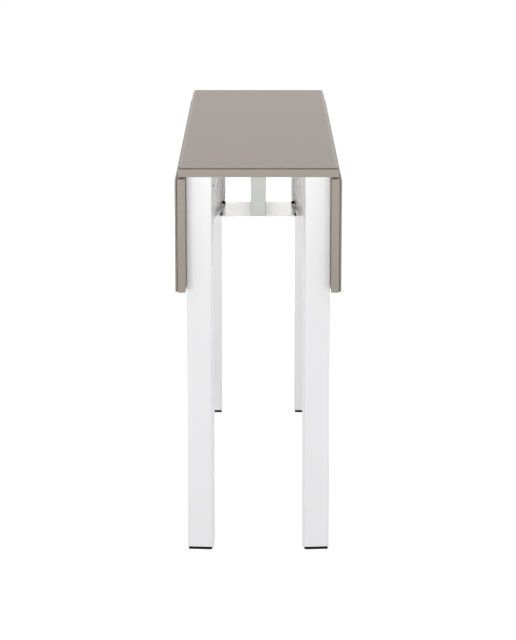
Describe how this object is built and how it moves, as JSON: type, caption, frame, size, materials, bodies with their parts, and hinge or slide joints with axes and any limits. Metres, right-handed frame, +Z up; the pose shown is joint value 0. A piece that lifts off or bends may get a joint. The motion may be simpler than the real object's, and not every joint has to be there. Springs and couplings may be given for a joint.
{
  "type": "extending console table",
  "caption": "Narrow console table with a glass-faced top, hinged drop leaves on its long sides, swivel stays to hold them level and turned square legs.",
  "frame": {"origin": "on the floor under the middle of the top", "axes": "+X across the table, +Y along its length, +Z up"},
  "size_m": [0.312, 1.2, 0.75],
  "materials": {
    "smoked_glass": "back-painted taupe float glass, satin",
    "dark_bond": "dark adhesive sheet",
    "taupe_board": "lacquered taupe board",
    "white_paint": "white powder coat",
    "white_plastic": "moulded, white",
    "black_plastic": "moulded, black",
    "grey_plastic": "moulded, pale grey",
    "bright_steel": "zinc plated strip",
    "zinc_steel": "zinc plated"
  },
  "bodies": {
    "frame": {"back_beam_cap": "grey_plastic", "back_cross_plate": "white_paint", "beam_bolts": "zinc_steel", "beam_cleats": "zinc_steel", "bracket_screws": "zinc_steel", "bracket_spacers": "black_plastic", "centre_beam": "white_paint", "cleat_screws": "zinc_steel", "front_beam_cap": "grey_plastic", "front_cross_plate": "white_paint", "hinge_body_screws": "zinc_steel", "hinge_pins": "zinc_steel", "left_back_foot": "black_plastic", "left_back_hinge_body": "zinc_steel", "left_back_leg": "white_paint", "left_back_leg_bracket": "white_paint", "left_back_leg_plug": "white_plastic", "left_front_foot": "black_plastic", "left_front_hinge_body": "zinc_steel", "left_front_leg": "white_paint", "left_front_leg_bracket": "white_paint", "left_front_leg_plug": "white_plastic", "left_middle_hinge_body": "zinc_steel", "leg_bolts": "zinc_steel", "plate_bolts": "zinc_steel", "right_back_foot": "black_plastic", "right_back_hinge_body": "zinc_steel", "right_back_leg": "white_paint", "right_back_leg_bracket": "white_paint", "right_back_leg_plug": "white_plastic", "right_front_foot": "black_plastic", "right_front_hinge_body": "zinc_steel", "right_front_leg": "white_paint", "right_front_leg_bracket": "white_paint", "right_front_leg_plug": "white_plastic", "right_middle_hinge_body": "zinc_steel", "stay_screws": "zinc_steel", "stay_stops": "zinc_steel", "stay_washers": "black_plastic", "top_bond_layer": "dark_bond", "top_glass": "smoked_glass", "top_panel": "taupe_board"},
    "left_leaf": {"left_back_hinge_arm": "zinc_steel", "left_front_hinge_arm": "zinc_steel", "left_hinge_arm_screws": "zinc_steel", "left_leaf_bond_layer": "dark_bond", "left_leaf_glass": "smoked_glass", "left_leaf_panel": "taupe_board", "left_middle_hinge_arm": "zinc_steel"},
    "right_leaf": {"right_back_hinge_arm": "zinc_steel", "right_front_hinge_arm": "zinc_steel", "right_hinge_arm_screws": "zinc_steel", "right_leaf_bond_layer": "dark_bond", "right_leaf_glass": "smoked_glass", "right_leaf_panel": "taupe_board", "right_middle_hinge_arm": "zinc_steel"},
    "left_front_stay_arm": {"left_front_stay": "bright_steel"},
    "right_front_stay_arm": {"right_front_stay": "bright_steel"},
    "left_back_stay_arm": {"left_back_stay": "bright_steel"},
    "right_back_stay_arm": {"right_back_stay": "bright_steel"}
  },
  "joints": [
    {"name": "left_leaf_hinge", "type": "hinge", "parent": "frame", "child": "left_leaf", "pos_m": [-0.1425, 0, 0.7365], "axis": [0, 1, 0], "range_deg": [0, 90]},
    {"name": "right_leaf_hinge", "type": "hinge", "parent": "frame", "child": "right_leaf", "pos_m": [0.1425, 0, 0.7365], "axis": [0, -1, 0], "range_deg": [0, 90]},
    {"name": "left_front_stay_swivel", "type": "hinge", "parent": "frame", "child": "left_front_stay_arm", "pos_m": [-0.1, -0.32, 0.7285], "axis": [0, 0, 1], "range_deg": [0, 90]},
    {"name": "right_front_stay_swivel", "type": "hinge", "parent": "frame", "child": "right_front_stay_arm", "pos_m": [0.1, -0.32, 0.7285], "axis": [0, 0, -1], "range_deg": [0, 90]},
    {"name": "left_back_stay_swivel", "type": "hinge", "parent": "frame", "child": "left_back_stay_arm", "pos_m": [-0.1, 0.32, 0.7285], "axis": [0, 0, -1], "range_deg": [0, 90]},
    {"name": "right_back_stay_swivel", "type": "hinge", "parent": "frame", "child": "right_back_stay_arm", "pos_m": [0.1, 0.32, 0.7285], "axis": [0, 0, 1], "range_deg": [0, 90]}
  ]
}
